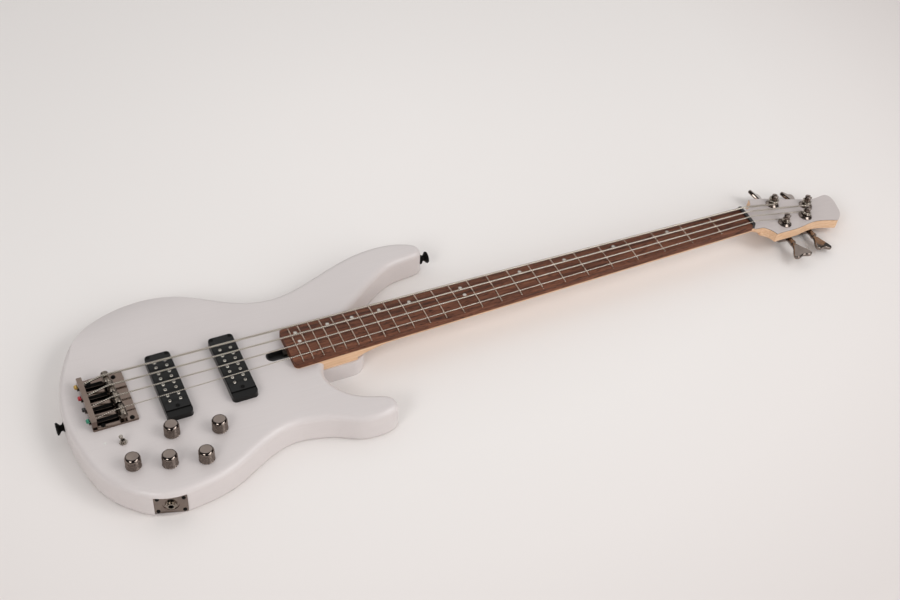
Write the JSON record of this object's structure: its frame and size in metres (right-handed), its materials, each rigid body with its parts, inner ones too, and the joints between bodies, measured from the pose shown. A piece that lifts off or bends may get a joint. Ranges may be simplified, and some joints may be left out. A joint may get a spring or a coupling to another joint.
{
  "type": "electric bass guitar",
  "caption": "Solid-body electric bass guitar with a bolt-on neck, wound strings on geared tuning machines, sliding bridge saddles, turning knobs and a hinged battery lid.",
  "frame": {"origin": "on the flat back of the body, under the line where the scale starts at the bridge, on the centre line", "axes": "+X along the neck towards the headstock, +Y towards the low string, +Z out of the body's top"},
  "size_m": [1.1051, 0.3219, 0.0606],
  "materials": {
    "body_finish": "translucent satin lacquer over ash",
    "maple": "satin oiled maple",
    "head_paint": "satin painted face",
    "rosewood": "open-grain oiled rosewood",
    "fret_nickel": "polished nickel silver",
    "pearl": "polished white inlay",
    "nut_black": "black synthetic bone",
    "rod_steel": "zinc-plated steel",
    "black_plastic": "moulded black plastic",
    "black_nickel": "polished black nickel plate",
    "string_nickel": "roundwound nickel-plated steel",
    "ball_lacquer": "lacquered brass",
    "saddle_steel": "worn nickel plate",
    "pickup_black": "satin moulded cover",
    "pole_steel": "ground alnico rod",
    "coil_copper": "enamelled copper winding",
    "chrome": "bright chrome plate",
    "led_lens": "clear tinted lens",
    "circuit_green": "solder-masked fibreglass board",
    "battery_case": "printed metal case without text"
  },
  "bodies": {
    "instrument": {"body": "body_finish", "neck": "maple", "headstock_face": "head_paint", "fingerboard": "rosewood", "frets": "fret_nickel", "position_dots": "pearl", "nut": "nut_black", "truss_rod": "rod_steel", "truss_rod_well": "black_plastic", "neck_bolts": "black_nickel", "neck_ferrules": "black_nickel", "string_e": "string_nickel", "string_a": "string_nickel", "string_d": "string_nickel", "string_g": "string_nickel", "ball_ends": "ball_lacquer", "bridge_plate": "black_nickel", "bridge_screws": "black_nickel", "intonation_screws": "black_nickel", "pickup_bridge": "pickup_black", "pickup_neck": "pickup_black", "pole_pieces": "pole_steel", "pickup_coils": "coil_copper", "pickup_screws": "black_nickel", "potentiometers": "rod_steel", "pot_nuts": "rod_steel", "toggle_switch": "chrome", "status_led": "led_lens", "jack_plate": "black_nickel", "jack_socket": "black_nickel", "jack_screws": "black_nickel", "preamp_board": "circuit_green", "battery_box": "black_plastic", "batteries": "battery_case", "control_cover": "black_plastic", "cover_screws": "black_nickel", "strap_buttons": "black_nickel", "strap_screws": "black_nickel", "tuner_bushings": "black_nickel", "tuner_housings": "black_nickel"},
    "key_e": {"tuner_key_e": "black_nickel"},
    "post_e": {"tuner_post_e": "black_nickel"},
    "key_a": {"tuner_key_a": "black_nickel"},
    "post_a": {"tuner_post_a": "black_nickel"},
    "key_d": {"tuner_key_d": "black_nickel"},
    "post_d": {"tuner_post_d": "black_nickel"},
    "key_g": {"tuner_key_g": "black_nickel"},
    "post_g": {"tuner_post_g": "black_nickel"},
    "knob_volume": {"knob_volume": "black_nickel"},
    "knob_balance": {"knob_balance": "black_nickel"},
    "knob_treble": {"knob_treble": "black_nickel"},
    "knob_mid": {"knob_mid": "black_nickel"},
    "knob_bass": {"knob_bass": "black_nickel"},
    "toggle": {"toggle_lever": "chrome"},
    "saddle_e": {"saddle_e": "saddle_steel"},
    "saddle_a": {"saddle_a": "saddle_steel"},
    "saddle_d": {"saddle_d": "saddle_steel"},
    "saddle_g": {"saddle_g": "saddle_steel"},
    "lid": {"battery_lid": "black_plastic"}
  },
  "joints": [
    {"name": "key_e_turn", "type": "hinge", "parent": "instrument", "child": "key_e", "pos_m": [0.92935, 0.02239, 0.01468], "axis": [0, 1, 0], "continuous": true},
    {"name": "post_e_turn", "type": "hinge", "parent": "instrument", "child": "post_e", "pos_m": [0.925, 0.02239, 0.03549], "axis": [0.1392, 0, 0.9903], "continuous": true},
    {"name": "key_a_turn", "type": "hinge", "parent": "instrument", "child": "key_a", "pos_m": [0.9777, 0.00998, 0.00789], "axis": [0, 1, 0], "continuous": true},
    {"name": "post_a_turn", "type": "hinge", "parent": "instrument", "child": "post_a", "pos_m": [0.97336, 0.00998, 0.02869], "axis": [0.1392, 0, 0.9903], "continuous": true},
    {"name": "key_d_turn", "type": "hinge", "parent": "instrument", "child": "key_d", "pos_m": [0.96272, -0.01139, 0.00999], "axis": [0, -1, 0], "continuous": true},
    {"name": "post_d_turn", "type": "hinge", "parent": "instrument", "child": "post_d", "pos_m": [0.95837, -0.01139, 0.0308], "axis": [0.1392, 0, 0.9903], "continuous": true},
    {"name": "key_g_turn", "type": "hinge", "parent": "instrument", "child": "key_g", "pos_m": [0.92271, -0.01899, 0.01562], "axis": [0, -1, 0], "continuous": true},
    {"name": "post_g_turn", "type": "hinge", "parent": "instrument", "child": "post_g", "pos_m": [0.91836, -0.01899, 0.03642], "axis": [0.1392, 0, 0.9903], "continuous": true},
    {"name": "knob_volume_turn", "type": "hinge", "parent": "instrument", "child": "knob_volume", "pos_m": [0.09159, -0.0872, 0.04], "axis": [0, 0, 1], "range_deg": [-150, 150]},
    {"name": "knob_balance_turn", "type": "hinge", "parent": "instrument", "child": "knob_balance", "pos_m": [0.03795, -0.0736, 0.04], "axis": [0, 0, 1], "range_deg": [-150, 150]},
    {"name": "knob_treble_turn", "type": "hinge", "parent": "instrument", "child": "knob_treble", "pos_m": [0.06376, -0.12496, 0.04], "axis": [0, 0, 1], "range_deg": [-150, 150]},
    {"name": "knob_mid_turn", "type": "hinge", "parent": "instrument", "child": "knob_mid", "pos_m": [0.02328, -0.116, 0.04], "axis": [0, 0, 1], "range_deg": [-150, 150]},
    {"name": "knob_bass_turn", "type": "hinge", "parent": "instrument", "child": "knob_bass", "pos_m": [-0.01619, -0.104, 0.04], "axis": [0, 0, 1], "range_deg": [-150, 150]},
    {"name": "toggle_tip", "type": "hinge", "parent": "instrument", "child": "toggle", "pos_m": [-0.01771, -0.06592, 0.04284], "axis": [0, 1, 0], "range_deg": [0, 24]},
    {"name": "saddle_e_slide", "type": "slide", "parent": "instrument", "child": "saddle_e", "axis": [1, 0, 0], "range_m": [-0.002, 0.004]},
    {"name": "saddle_a_slide", "type": "slide", "parent": "instrument", "child": "saddle_a", "axis": [1, 0, 0], "range_m": [-0.002, 0.004]},
    {"name": "saddle_d_slide", "type": "slide", "parent": "instrument", "child": "saddle_d", "axis": [1, 0, 0], "range_m": [-0.002, 0.004]},
    {"name": "saddle_g_slide", "type": "slide", "parent": "instrument", "child": "saddle_g", "axis": [1, 0, 0], "range_m": [-0.002, 0.004]},
    {"name": "battery_lid_swing", "type": "hinge", "parent": "instrument", "child": "lid", "pos_m": [0.02473, 0.0704, 0.0012], "axis": [0, -1, 0], "range_deg": [0, 100]}
  ],
  "couplings": [
    {"joint": "post_e_turn", "follows": "key_e_turn", "ratio": 0.05},
    {"joint": "post_a_turn", "follows": "key_a_turn", "ratio": 0.05},
    {"joint": "post_d_turn", "follows": "key_d_turn", "ratio": -0.05},
    {"joint": "post_g_turn", "follows": "key_g_turn", "ratio": -0.05}
  ]
}
